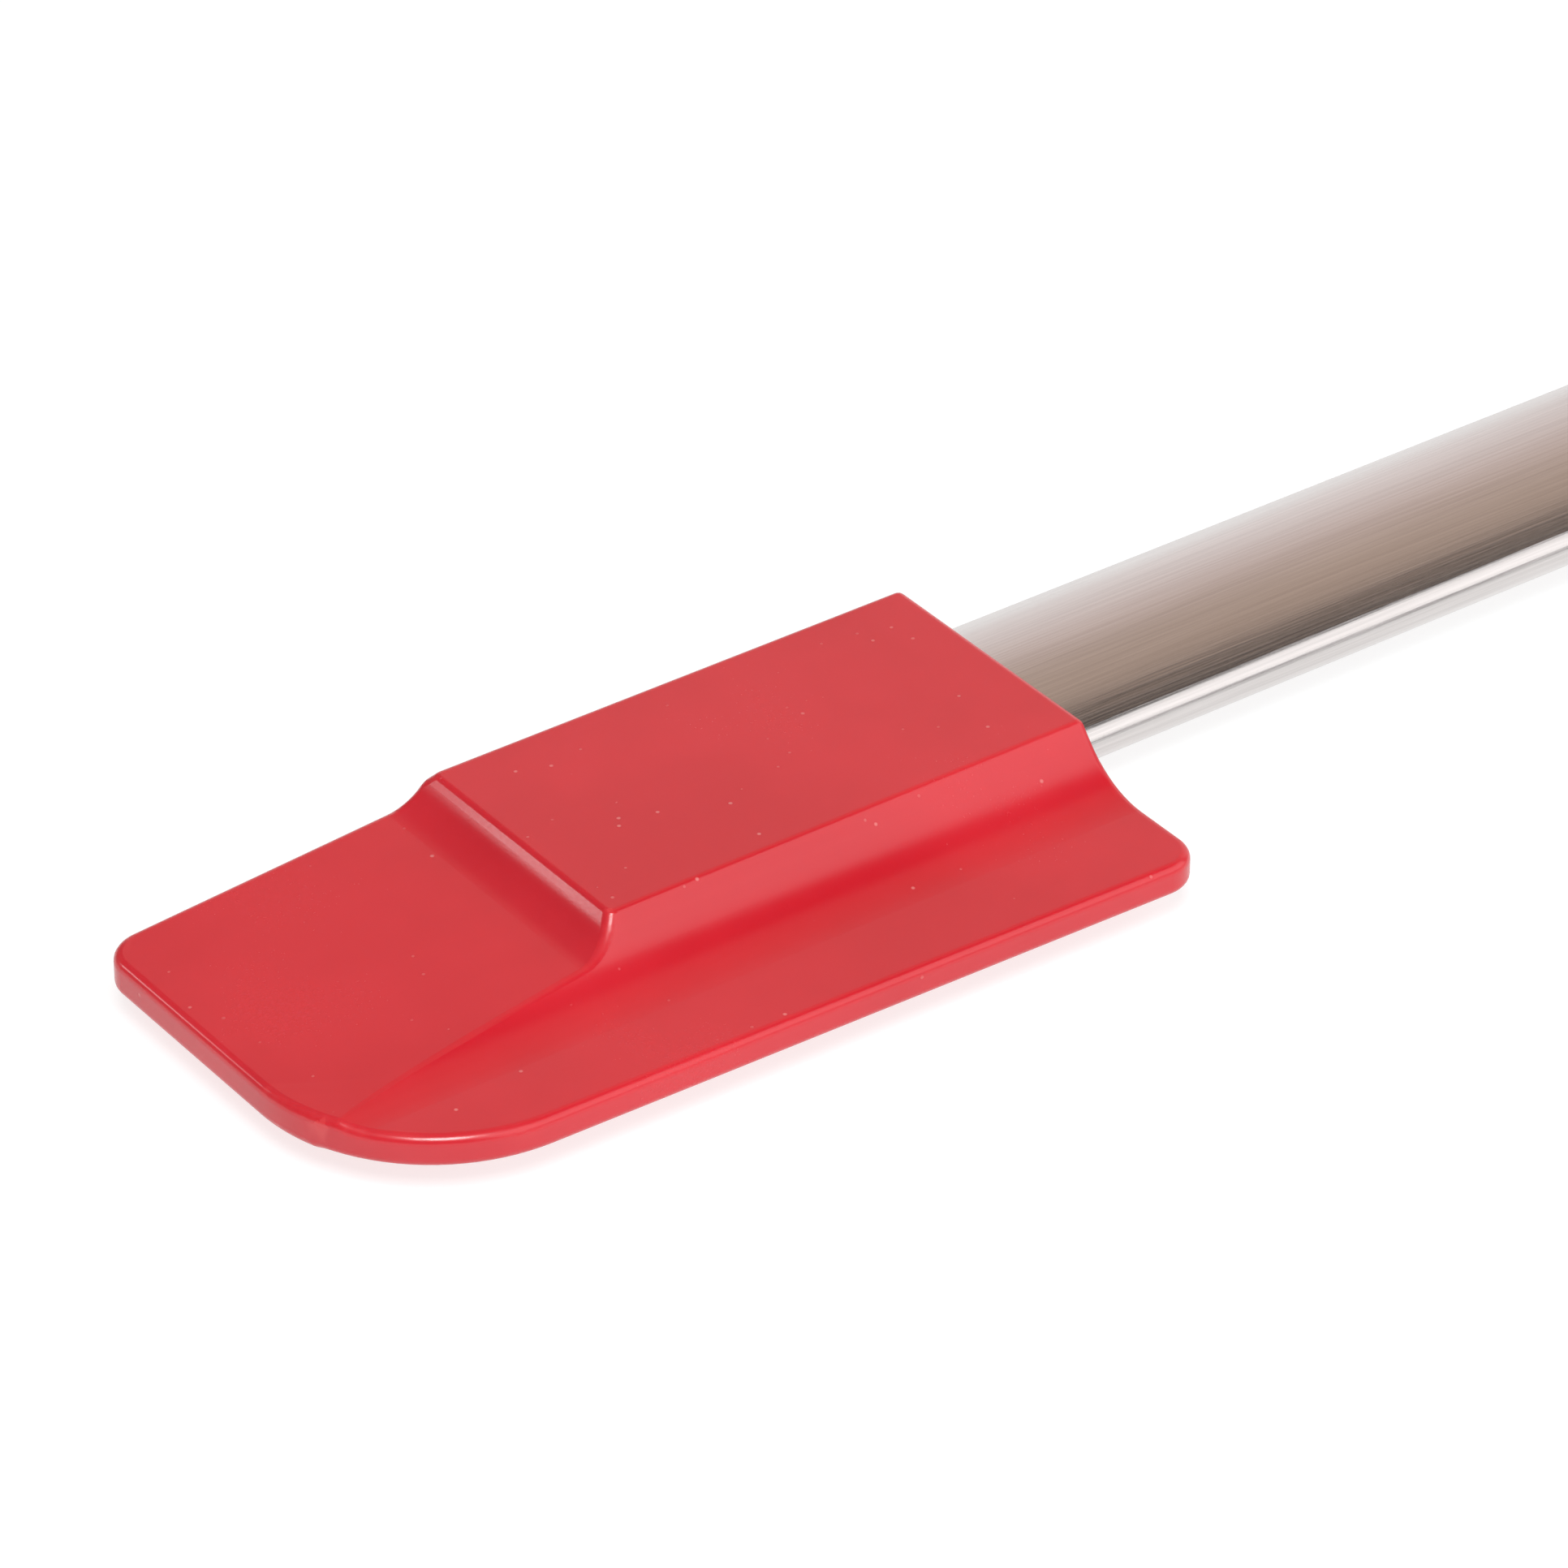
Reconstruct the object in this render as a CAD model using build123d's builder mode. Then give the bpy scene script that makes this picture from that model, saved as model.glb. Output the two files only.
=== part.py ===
from build123d import *
import os
from math import asin, degrees, radians, tan

# Bowl scraper: a soft moulded silicone blade pushed over the oval stainless tube of its handle.
# The handle's axis is X, the blade points along -X and its wide wing along -Y, and +Z is up.
# The origin is the centre of the hanging eye, and all sizes are in millimetres.

# Handle tube, a round tube pressed oval
tube_width = 23.0
tube_height = 9.0
tube_end_radius = 2.2         # radius of the oval's two narrow ends
tube_wall = 0.8
handle_reach = 170.0          # hanging eye to the blade's back face
tube_tail = 12.0              # hanging eye to the tube's rear end
tube_grip = 43.0              # length of tube inside the blade

# Silicone blade, seen from above
blade_length = 88.0
wing_width_back = 18.0        # top of the rib to the wide wing's edge, at the back face
wing_width_front = 15.9       # the same at the front edge
heel_width_back = 1.5         # top of the rib to the far edge, at the back face
heel_width_front = 0.7        # the same at the front edge
wide_corner_radius = 18.5     # front corner that follows the bowl
square_corner_radius = 3.6    # front corner that reaches into edges
back_corner_radius = 3.6
heel_corner_radius = 1.6

# Silicone blade, thickness
rib_nose_cover = 6.7          # top of the rib in front of the socket
rib_cover = 1.3               # silicone over the tube
rib_side_cover = 2.2          # silicone beside the tube, at the top of the rib
wing_top = 0.75               # heights are measured from the handle axis
wing_bottom = -2.45
draft_angle = 49.0            # slope of the rib's sides and of the ramp at its front
wall_root_radius = 9.7        # where the rib's side runs out into the wing
ramp_root_radius = 6.0        # where the ramp runs out into the tongue
under_root_radius = 6.0       # where the rib's underside runs out into the wing
ridge_radius = 1.3            # where the rib's side meets the ramp and the tongue
crest_radius = 0.8
rim_radius = 0.9
tongue_slope = 3.9            # the blade thins from the ramp to its front edge
under_slope = 1.0
tongue_step = 0.15            # height of the tongue above the wing at the front edge

# Socket
socket_clearance = 0.05
socket_end_gap = 0.6
socket_lead_in = 0.2

# Nylon tip plug and stainless end cap
plug_clearance = 0.03
tip_plug_depth = 12.0
tip_plug_flange = 2.4
end_cap_depth = 22.0
end_cap_flange = 3.0
oval_edge_radius = 1.5        # round on the plug's nose and on the cap's rear edge

# Hanging eye, a tubular rivet
eye_radius = 3.5
eyelet_wall = 0.5
eyelet_rim_width = 1.9
eyelet_rim_height = 0.5
eyelet_clearance = 0.03

os.makedirs("parts", exist_ok=True)

socket_depth = tube_grip + tip_plug_flange + socket_end_gap
rib_length = socket_depth + rib_nose_cover
rib_half_width = tube_width / 2 + rib_side_cover
rib_half_height = tube_height / 2 + rib_cover
wing_back = rib_half_width + wing_width_back
wing_front = rib_half_width + wing_width_front
heel_back = rib_half_width + heel_width_back
heel_front = rib_half_width + heel_width_front
blade_back = -handle_reach
tube_front = blade_back - tube_grip
eyelet_radius = eye_radius + eyelet_wall
rim_outer_radius = eyelet_radius + eyelet_rim_width
wing_reach = wing_back + blade_length
blade_front = blade_back - blade_length
ramp_top = blade_back - rib_length
draft_overshoot = 2.0
hairline = 0.01                # smaller than any real feature


def oval(growth):
    """The tube's oval section of four arcs, grown all round by a clearance or shrunk by a wall."""
    half_height = tube_height / 2
    end_centre = tube_width / 2 - tube_end_radius
    crown_radius = (end_centre**2 + half_height**2 - tube_end_radius**2) / (
        2 * (half_height - tube_end_radius)
    )
    crown_centre = half_height - crown_radius
    crown_spread = degrees(asin(end_centre / (crown_radius - tube_end_radius)))
    end_spread = 90 - crown_spread
    with BuildSketch(Plane.XY) as section:
        with BuildLine():
            end = CenterArc((end_centre, 0), tube_end_radius + growth, -end_spread, 2 * end_spread)
            crown = CenterArc((0, crown_centre), crown_radius + growth, end_spread, 2 * crown_spread)
            mirror(end, about=Plane.YZ)
            mirror(crown, about=Plane.XZ)
        make_face()
    return section.sketch_local


def wall_run(drop):
    """Horizontal length of a drafted wall that drops by this much."""
    return drop / tan(radians(draft_angle))


# --- Silicone blade ------------------------------------------------------------------------
# The blade is what three outlines leave in common: its cross-section, its long section and its
# outline from above.

def wall_and_wing(crest, level, side):
    """Cross-section of one drafted wall and its wing, from above the crest to the wing's end."""
    sign = 1 if crest > 0 else -1
    above = rib_half_width - wall_run(draft_overshoot)
    root = rib_half_width + wall_run(abs(crest - level))
    return [
        (side * above, crest + sign * draft_overshoot),
        (side * root, level),
        (side * wing_reach, level),
    ]


def rib_and_tongue(crest, level, slope):
    """Long section of one face: the rib, the ramp down from it and the tongue to the front."""
    sign = 1 if crest > 0 else -1
    steepness = tan(radians(draft_angle))
    rise = tan(radians(slope))
    front_level = level + sign * tongue_step
    drop = abs(crest - front_level)
    run = (drop - rise * (blade_length - rib_length)) / (steepness - rise)
    return [
        (blade_back + draft_overshoot, crest),
        (ramp_top, crest),
        (ramp_top - run, crest - sign * steepness * run),
        (blade_front - draft_overshoot, front_level - sign * rise * draft_overshoot),
    ]


def is_root(corner):
    return rib_half_width < abs(corner.X) < wing_back


def is_ridge(edge):
    """Only the ridges where two outlines cross run in all three directions."""
    size = edge.bounding_box().size
    return min(size.X, size.Y, size.Z) > hairline


def is_upright(face):
    return abs(face.normal_at().Z) < hairline


with BuildPart() as silicone_blade:
    with BuildSketch(Plane.YZ.offset(blade_back + draft_overshoot)) as cross_section:
        with BuildLine():
            Polyline(
                *wall_and_wing(rib_half_height, wing_top, 1),
                *reversed(wall_and_wing(-rib_half_height, wing_bottom, 1)),
                *wall_and_wing(-rib_half_height, wing_bottom, -1),
                *reversed(wall_and_wing(rib_half_height, wing_top, -1)),
                close=True,
            )
        make_face()
        fillet(cross_section.vertices().filter_by(is_root).group_by(Axis.Y)[-1], wall_root_radius)
        fillet(cross_section.vertices().filter_by(is_root).group_by(Axis.Y)[0], under_root_radius)
    extrude(amount=blade_length + 2 * draft_overshoot, dir=(-1, 0, 0))
    with BuildSketch(Plane.XZ.offset(wing_reach)) as long_section:
        with BuildLine():
            Polyline(
                *rib_and_tongue(rib_half_height, wing_top, tongue_slope),
                *reversed(rib_and_tongue(-rib_half_height, wing_bottom, under_slope)),
                close=True,
            )
        make_face()
        fillet(long_section.vertices().sort_by(Axis.X)[2:4], ramp_root_radius)
    extrude(amount=2 * wing_reach, dir=(0, 1, 0), mode=Mode.INTERSECT)
    fillet(silicone_blade.edges().filter_by(is_ridge), ridge_radius)
    fillet(silicone_blade.edges().group_by(Axis.Z)[-1], crest_radius)
    fillet(silicone_blade.edges().group_by(Axis.Z)[0], crest_radius)
    with BuildSketch(Plane.XY.offset(wing_reach)) as outline:
        with BuildLine():
            Polyline(
                (blade_back, heel_back),
                (blade_front, heel_front),
                (blade_front, -wing_front),
                (blade_back, -wing_back),
                close=True,
            )
        make_face()
        fillet(outline.vertices().group_by(Axis.X)[0].sort_by(Axis.Y)[0], wide_corner_radius)
        fillet(outline.vertices().group_by(Axis.X)[0].sort_by(Axis.Y)[-1], square_corner_radius)
        fillet(outline.vertices().group_by(Axis.X)[-1].sort_by(Axis.Y)[0], back_corner_radius)
        fillet(outline.vertices().group_by(Axis.X)[-1].sort_by(Axis.Y)[-1], heel_corner_radius)
    extrude(amount=2 * wing_reach, dir=(0, 0, -1), mode=Mode.INTERSECT)
    rim = silicone_blade.faces().filter_by(is_upright).edges().filter_by(Axis.Z, reverse=True)
    fillet(rim, rim_radius)
    with BuildSketch(Plane.YZ.offset(blade_back)):
        add(oval(socket_clearance))
    extrude(amount=socket_depth, dir=(-1, 0, 0), mode=Mode.SUBTRACT)
    chamfer(silicone_blade.edges(Select.LAST).group_by(Axis.X)[-1], socket_lead_in)
silicone_blade.part.label = "silicone_blade"
export_step(silicone_blade.part, "parts/silicone_blade.step")


# --- Handle tube ---------------------------------------------------------------------------
# Drawn stainless tube, open at both ends, with a round hole for the hanging eye near its rear.

with BuildPart() as handle_tube:
    with BuildSketch(Plane.YZ.offset(tube_front)):
        add(oval(0))
        add(oval(-tube_wall), mode=Mode.SUBTRACT)
    extrude(amount=tube_tail - tube_front, dir=(1, 0, 0))
    with BuildSketch(Plane.XY.offset(tube_height)):
        Circle(eyelet_radius + eyelet_clearance)
    extrude(amount=2 * tube_height, dir=(0, 0, -1), mode=Mode.SUBTRACT)
handle_tube.part.label = "handle_tube"
export_step(handle_tube.part, "parts/handle_tube.step")


# --- Tip plug ------------------------------------------------------------------------------
# Nylon plug that closes the tube's front end, and whose rounded nose leads it into the socket.

with BuildPart() as tip_plug:
    with BuildSketch(Plane.YZ.offset(tube_front)):
        add(oval(0))
    extrude(amount=tip_plug_flange, dir=(-1, 0, 0))
    fillet(tip_plug.edges().group_by(Axis.X)[0], oval_edge_radius)
    with BuildSketch(Plane.YZ.offset(tube_front)):
        add(oval(-tube_wall - plug_clearance))
    extrude(amount=tip_plug_depth, dir=(1, 0, 0))
tip_plug.part.label = "tip_plug"
export_step(tip_plug.part, "parts/tip_plug.step")


# --- End cap -------------------------------------------------------------------------------
# Stainless cap whose spigot fills the tube's rear end. The hanging eye passes through both.

with BuildPart() as end_cap:
    with BuildSketch(Plane.YZ.offset(tube_tail)):
        add(oval(0))
    extrude(amount=end_cap_flange, dir=(1, 0, 0))
    fillet(end_cap.edges().group_by(Axis.X)[-1], oval_edge_radius)
    with BuildSketch(Plane.YZ.offset(tube_tail)):
        add(oval(-tube_wall - plug_clearance))
    extrude(amount=end_cap_depth, dir=(-1, 0, 0))
    with BuildSketch(Plane.XY.offset(tube_height)):
        Circle(eyelet_radius + eyelet_clearance)
    extrude(amount=2 * tube_height, dir=(0, 0, -1), mode=Mode.SUBTRACT)
end_cap.part.label = "end_cap"
export_step(end_cap.part, "parts/end_cap.step")


# --- Hanging eyelet ------------------------------------------------------------------------
# Tubular stainless rivet. Its rims are rolled down onto the tube and follow the tube's curve.

with BuildPart() as hanging_eyelet:
    with BuildSketch(Plane.XY.offset(-tube_height)):
        Circle(rim_outer_radius)
    extrude(amount=2 * tube_height, dir=(0, 0, 1))
    with BuildSketch(Plane.YZ.offset(-tube_height)):
        add(oval(eyelet_rim_height))
    extrude(amount=2 * tube_height, dir=(1, 0, 0), mode=Mode.INTERSECT)
    with BuildSketch(Plane.YZ.offset(-tube_height)) as tube_section:
        add(oval(0))
    extrude(amount=2 * tube_height, dir=(1, 0, 0), mode=Mode.SUBTRACT)
    with BuildSketch(Plane.XY.offset(-tube_height / 2)):
        Circle(eyelet_radius)
    extrude(amount=tube_height, dir=(0, 0, 1))
    with BuildSketch(Plane.XY.offset(-tube_height)):
        Circle(eye_radius)
    extrude(amount=2 * tube_height, dir=(0, 0, 1), mode=Mode.SUBTRACT)
hanging_eyelet.part.label = "hanging_eyelet"
export_step(hanging_eyelet.part, "parts/hanging_eyelet.step")
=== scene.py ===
import math
import bmesh
import bpy
from mathutils import Matrix, Vector


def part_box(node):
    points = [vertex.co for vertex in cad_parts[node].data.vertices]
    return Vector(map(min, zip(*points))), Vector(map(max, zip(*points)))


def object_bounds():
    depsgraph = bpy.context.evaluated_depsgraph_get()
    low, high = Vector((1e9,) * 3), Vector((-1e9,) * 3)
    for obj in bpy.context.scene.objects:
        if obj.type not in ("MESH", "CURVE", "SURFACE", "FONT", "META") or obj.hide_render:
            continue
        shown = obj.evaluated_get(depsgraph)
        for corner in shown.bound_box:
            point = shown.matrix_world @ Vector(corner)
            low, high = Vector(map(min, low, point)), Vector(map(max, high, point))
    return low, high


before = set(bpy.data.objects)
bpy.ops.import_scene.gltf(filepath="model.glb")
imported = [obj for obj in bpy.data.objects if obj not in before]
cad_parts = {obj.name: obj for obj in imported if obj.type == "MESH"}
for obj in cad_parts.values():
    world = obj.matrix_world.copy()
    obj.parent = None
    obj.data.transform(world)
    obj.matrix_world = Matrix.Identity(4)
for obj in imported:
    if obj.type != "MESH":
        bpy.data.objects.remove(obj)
cad_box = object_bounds()


# --- Silicone blade -----------------------------------------------------------------------
# One piece of food-grade red silicone, pressed in a polished steel mould and pushed over the
# end of the handle. Its satin skin holds specks of dust and is a little paler along its edges.

class Shade:
    """One socket of a finish. Sums on it add Math nodes, and node() adds any other node."""

    def __init__(self, tree, socket=None):
        self.tree = tree
        self.socket = socket

    def feed(self, socket, value):
        """Links a Shade to a socket, or sets the socket to a plain value."""
        if isinstance(value, Shade):
            self.tree.links.new(value.socket, socket)
        else:
            socket.default_value = value

    def node(self, kind, settings=None, values=None, output=0):
        """Adds a node: its type, its settings, its sockets' values and the output to go on with."""
        made = self.tree.nodes.new("ShaderNode" + kind)
        for name, value in (settings or {}).items():
            if name == "stops":
                stops = made.color_ramp.elements
                while len(stops) < len(value):
                    stops.new(0.5)
                for stop, (position, colour) in zip(stops, value):
                    stop.position = position
                    stop.color = colour
            else:
                setattr(made, name, value)
        for name, value in (values or {}).items():
            self.feed(made.inputs[name], value)
        return Shade(self.tree, made.outputs[output])

    def sum(self, operation, first, second):
        return self.node("Math", {"operation": operation}, {0: first, 1: second})

    def __add__(self, other):
        return self.sum("ADD", self, other)

    def __mul__(self, other):
        return self.sum("MULTIPLY", self, other)

    def __sub__(self, other):
        return self.sum("SUBTRACT", self, other)

    def __rsub__(self, other):
        return self.sum("SUBTRACT", other, self)

    __radd__ = __add__
    __rmul__ = __mul__

    def step(self, low, high):
        """Smooth step from 0 to 1 as this value goes from low to high."""
        return self.node(
            "MapRange",
            {"interpolation_type": "SMOOTHSTEP"},
            {"Value": self, "From Min": low, "From Max": high},
        )

    def blend(self, low_colour, high_colour):
        """Colour that goes from the first to the second as this value goes from 0 to 1."""
        values = {0: self, 6: low_colour, 7: high_colour}
        return self.node("Mix", {"data_type": "RGBA"}, values, output=2)


def new_finish(name):
    """An empty finish: its material, its skin shader and a Shade to add nodes with."""
    material = bpy.data.materials.new(name)
    material.use_nodes = True
    skin = material.node_tree.nodes["Principled BSDF"]
    return material, skin, Shade(material.node_tree)


def dress(node, material):
    """Gives a CAD node its finish."""
    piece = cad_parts[node]
    piece.data.materials.clear()
    piece.data.materials.append(material)


silicone, skin, shade = new_finish("red_silicone")
place = shade.node("TexCoord", output="Object")
cloud = shade.node("TexNoise", None, {"Vector": place, "Scale": 38.0, "Detail": 3.0, "Roughness": 0.55})
grain = shade.node("TexNoise", None, {"Vector": place, "Scale": 2600.0, "Detail": 2.0, "Roughness": 0.6})
specks = shade.node("TexVoronoi", None, {"Vector": place, "Scale": 420.0, "Randomness": 1.0})
settled = shade.node("TexNoise", None, {"Vector": place, "Scale": 160.0, "Detail": 1.0})
dust = specks.step(0.10, 0.03) * settled.step(0.50, 0.58)
edge = shade.node("NewGeometry", output="Pointiness").step(0.50, 0.56)
body_colour = cloud.step(0.3, 0.7).blend((0.555, 0.009, 0.020, 1.0), (0.620, 0.013, 0.026, 1.0))
# The colour is made paler and redder along convex edges, which are found from the mesh's pointiness.
pale_edge_colour = (edge * 0.35).blend(body_colour, (0.80, 0.09, 0.09, 1.0))
dusty_colour = (dust * 0.45).blend(pale_edge_colour, (0.86, 0.42, 0.40, 1.0))
shade.feed(skin.inputs["Base Color"], dusty_colour)
shade.feed(skin.inputs["Roughness"], 0.19 + cloud * 0.08 + grain * 0.05 + dust * 0.3)
relief = shade.node(
    "Bump", None, {"Strength": 0.10, "Distance": 0.0001, "Height": grain * 0.5 + dust * 0.6}
)
shade.feed(skin.inputs["Normal"], relief)
skin.inputs["IOR"].default_value = 1.6
skin.inputs["Subsurface Weight"].default_value = 0.25
skin.inputs["Subsurface Radius"].default_value = (1.0, 0.12, 0.10)
skin.inputs["Subsurface Scale"].default_value = 0.002
dress("silicone_blade", silicone)


# --- Handle tube --------------------------------------------------------------------------
# Stainless tube drawn to an oval and brushed along its length, so its grain is long fine
# lines. Handling has polished it a little more on some stretches than on others.

def brushed_steel(name, low_colour, high_colour, roughness, relief_strength):
    """Stainless steel with its brushing along the handle."""
    material, skin, shade = new_finish(name)
    place = shade.node("TexCoord", output="Object")
    along = shade.node("Mapping", None, {"Vector": place, "Scale": (9.0, 900.0, 900.0)})
    strokes = shade.node("TexNoise", None, {"Vector": along, "Scale": 4.0, "Detail": 4.0, "Roughness": 0.7})
    wide = shade.node("Mapping", None, {"Vector": place, "Scale": (14.0, 160.0, 160.0)})
    bands = shade.node("TexNoise", None, {"Vector": wide, "Scale": 1.6, "Detail": 2.0})
    smudge = shade.node("TexNoise", None, {"Vector": place, "Scale": 30.0, "Detail": 3.0})
    tone = strokes.step(0.25, 0.75) * 0.6 + bands * 0.4
    shade.feed(skin.inputs["Base Color"], tone.blend(low_colour, high_colour))
    shade.feed(skin.inputs["Roughness"], roughness + strokes * 0.10 + smudge * 0.06)
    relief = shade.node(
        "Bump", None, {"Strength": relief_strength, "Distance": 0.00006, "Height": strokes}
    )
    shade.feed(skin.inputs["Normal"], relief)
    skin.inputs["Metallic"].default_value = 1.0
    return material


tube_steel = brushed_steel(
    "brushed_tube",
    low_colour=(0.58, 0.54, 0.53, 1.0),
    high_colour=(0.74, 0.70, 0.69, 1.0),
    roughness=0.15,
    relief_strength=0.25,
)
dress("handle_tube", tube_steel)


# --- Tip plug -----------------------------------------------------------------------------
# Natural nylon plug, turned from rod, so its skin has fine rings from the tool. It is pressed
# into the front of the tube before the blade goes on.

nylon, skin, shade = new_finish("natural_nylon")
place = shade.node("TexCoord", output="Object")
turning = shade.node(
    "TexWave",
    {"wave_type": "BANDS", "bands_direction": "X"},
    {"Vector": place, "Scale": 1400.0, "Distortion": 1.5, "Detail": 1.0},
)
mottle = shade.node("TexNoise", None, {"Vector": place, "Scale": 240.0, "Detail": 3.0})
shade.feed(skin.inputs["Base Color"], mottle.blend((0.60, 0.57, 0.50, 1.0), (0.74, 0.71, 0.64, 1.0)))
shade.feed(skin.inputs["Roughness"], 0.42 + mottle * 0.18)
relief = shade.node("Bump", None, {"Strength": 0.2, "Distance": 0.00005, "Height": turning})
shade.feed(skin.inputs["Normal"], relief)
skin.inputs["IOR"].default_value = 1.53
dress("tip_plug", nylon)


# --- End cap ------------------------------------------------------------------------------
# Satin stainless cap that closes the tube's rear end. Its spigot is pressed into the tube and
# is held by the hanging eyelet.

cap_steel = brushed_steel(
    "satin_cap",
    low_colour=(0.60, 0.57, 0.56, 1.0),
    high_colour=(0.72, 0.69, 0.68, 1.0),
    roughness=0.17,
    relief_strength=0.15,
)
dress("end_cap", cap_steel)


# --- Hanging eyelet -----------------------------------------------------------------------
# Tubular stainless rivet through tube and cap. Its rolled rims are polished by the tool that
# sets them, and by the hook it hangs on.

eyelet_steel, skin, shade = new_finish("polished_eyelet")
place = shade.node("TexCoord", output="Object")
rings = shade.node(
    "TexWave",
    {"wave_type": "RINGS", "rings_direction": "Z"},
    {"Vector": place, "Scale": 900.0, "Distortion": 0.6, "Detail": 2.0},
)
scuffs = shade.node("TexNoise", None, {"Vector": place, "Scale": 700.0, "Detail": 4.0, "Roughness": 0.7})
shade.feed(skin.inputs["Base Color"], scuffs.blend((0.66, 0.64, 0.63, 1.0), (0.78, 0.76, 0.75, 1.0)))
shade.feed(skin.inputs["Roughness"], 0.10 + scuffs.step(0.4, 0.8) * 0.16)
relief = shade.node("Bump", None, {"Strength": 0.08, "Distance": 0.00004, "Height": rings})
shade.feed(skin.inputs["Normal"], relief)
skin.inputs["Metallic"].default_value = 1.0
dress("hanging_eyelet", eyelet_steel)


# --- Table, light and camera --------------------------------------------------------------
# The scraper lies on a softly lit white table. A wide softbox stands low on the wing's side, a
# small one above the camera, and a tiny lamp behind the blade picks out the top of its ramp.

table_half_width = 5.0
table_mesh = bpy.data.meshes.new("table")
table_top = bmesh.new()
bmesh.ops.create_grid(
    table_top,
    x_segments=1,
    y_segments=1,
    size=table_half_width,
    matrix=Matrix.Translation((0, 0, cad_box[0].z)),
)
table_top.to_mesh(table_mesh)
table_top.free()
table = bpy.data.objects.new("table", table_mesh)
bpy.context.scene.collection.objects.link(table)
table_white, skin, shade = new_finish("table_white")
skin.inputs["Base Color"].default_value = (0.27, 0.31, 0.31, 1.0)
skin.inputs["Roughness"].default_value = 0.9
skin.inputs["Specular IOR Level"].default_value = 0.0
skin.inputs["Emission Color"].default_value = (1.0, 0.97, 0.97, 1.0)
skin.inputs["Emission Strength"].default_value = 0.79
table_mesh.materials.append(table_white)


def stand(thing, aim, azimuth, elevation, distance):
    """Stands a lamp or camera at that distance from the aim, at angles in degrees, to face it."""
    turn, tilt = math.radians(azimuth), math.radians(elevation)
    away = Vector((math.sin(turn) * math.cos(tilt), -math.cos(turn) * math.cos(tilt), math.sin(tilt)))
    thing.location = aim + away * distance
    thing.rotation_euler = (-away).to_track_quat("-Z", "Y").to_euler()
    bpy.context.scene.collection.objects.link(thing)


def soft_light(name, aim, azimuth, elevation, distance, size, power):
    """A flat soft lamp that the camera doesn't see."""
    light = bpy.data.lights.new(name, "AREA")
    light.shape = "RECTANGLE"
    light.size, light.size_y = size
    light.energy = power
    lamp = bpy.data.objects.new(name, light)
    lamp.visible_camera = False
    stand(lamp, aim, azimuth, elevation, distance)


blade_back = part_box("silicone_blade")[1].x
blade_aim = Vector((blade_back - 0.0232, 0.0008, 0.0))
ramp_aim = Vector((blade_back - 0.055, 0.001, 0.004))
soft_light("near_softbox", blade_aim, 32, 33, distance=1.0, size=(1.7, 0.82), power=5.9)
soft_light("camera_softbox", blade_aim, -36, 55, distance=1.0, size=(0.34, 0.34), power=7.3)
soft_light("ramp_lamp", ramp_aim, -137.5, 24.2, distance=0.22, size=(0.012, 0.02), power=0.02)

# The room round the table: a pale warm wall behind on the right, a black flag above the right
# side, and grey walls everywhere else.
world = bpy.data.worlds.new("studio")
bpy.context.scene.world = world
world.use_nodes = True
room = Shade(world.node_tree)
direction = room.node("TexCoord", output="Generated")
right = room.node("SeparateXYZ", None, {"Vector": direction}, output="X")
back = room.node("SeparateXYZ", None, {"Vector": direction}, output="Y")
height = room.node("SeparateXYZ", None, {"Vector": direction}, output="Z")
warm_stops = [
    (0.0, (1.0, 0.95, 0.94, 1.0)),
    (0.3, (0.92, 0.84, 0.82, 1.0)),
    (0.55, (0.76, 0.63, 0.58, 1.0)),
    (0.72, (0.56, 0.44, 0.36, 1.0)),
    (0.84, (0.55, 0.42, 0.34, 1.0)),
]
grey_stops = [
    (0.0, (0.34, 0.33, 0.33, 1.0)),
    (0.45, (0.13, 0.125, 0.125, 1.0)),
    (1.0, (0.34, 0.33, 0.33, 1.0)),
]
warm_wall = room.node("ValToRGB", {"stops": warm_stops}, {"Fac": height})
grey_wall = room.node("ValToRGB", {"stops": grey_stops}, {"Fac": height})
on_the_right = right.step(0.22, 0.34)
behind = back.step(0.03, 0.13)
flag = on_the_right * (1.0 - behind) * height.step(0.4, 0.6)
flagged_wall = flag.blend(grey_wall, (0.02, 0.016, 0.013, 1.0))
sky = world.node_tree.nodes["Background"]
room.feed(sky.inputs["Color"], (on_the_right * behind).blend(flagged_wall, warm_wall))
bpy.context.scene.view_settings.view_transform = "Standard"

camera_data = bpy.data.cameras.new("camera")
camera_data.lens = 179.37
camera_data.sensor_width = 36.0
camera_data.clip_start = 0.01
camera_data.clip_end = 50.0
camera = bpy.data.objects.new("camera", camera_data)
stand(camera, blade_aim, -36.17, 33.46, distance=0.710)
bpy.context.scene.camera = camera
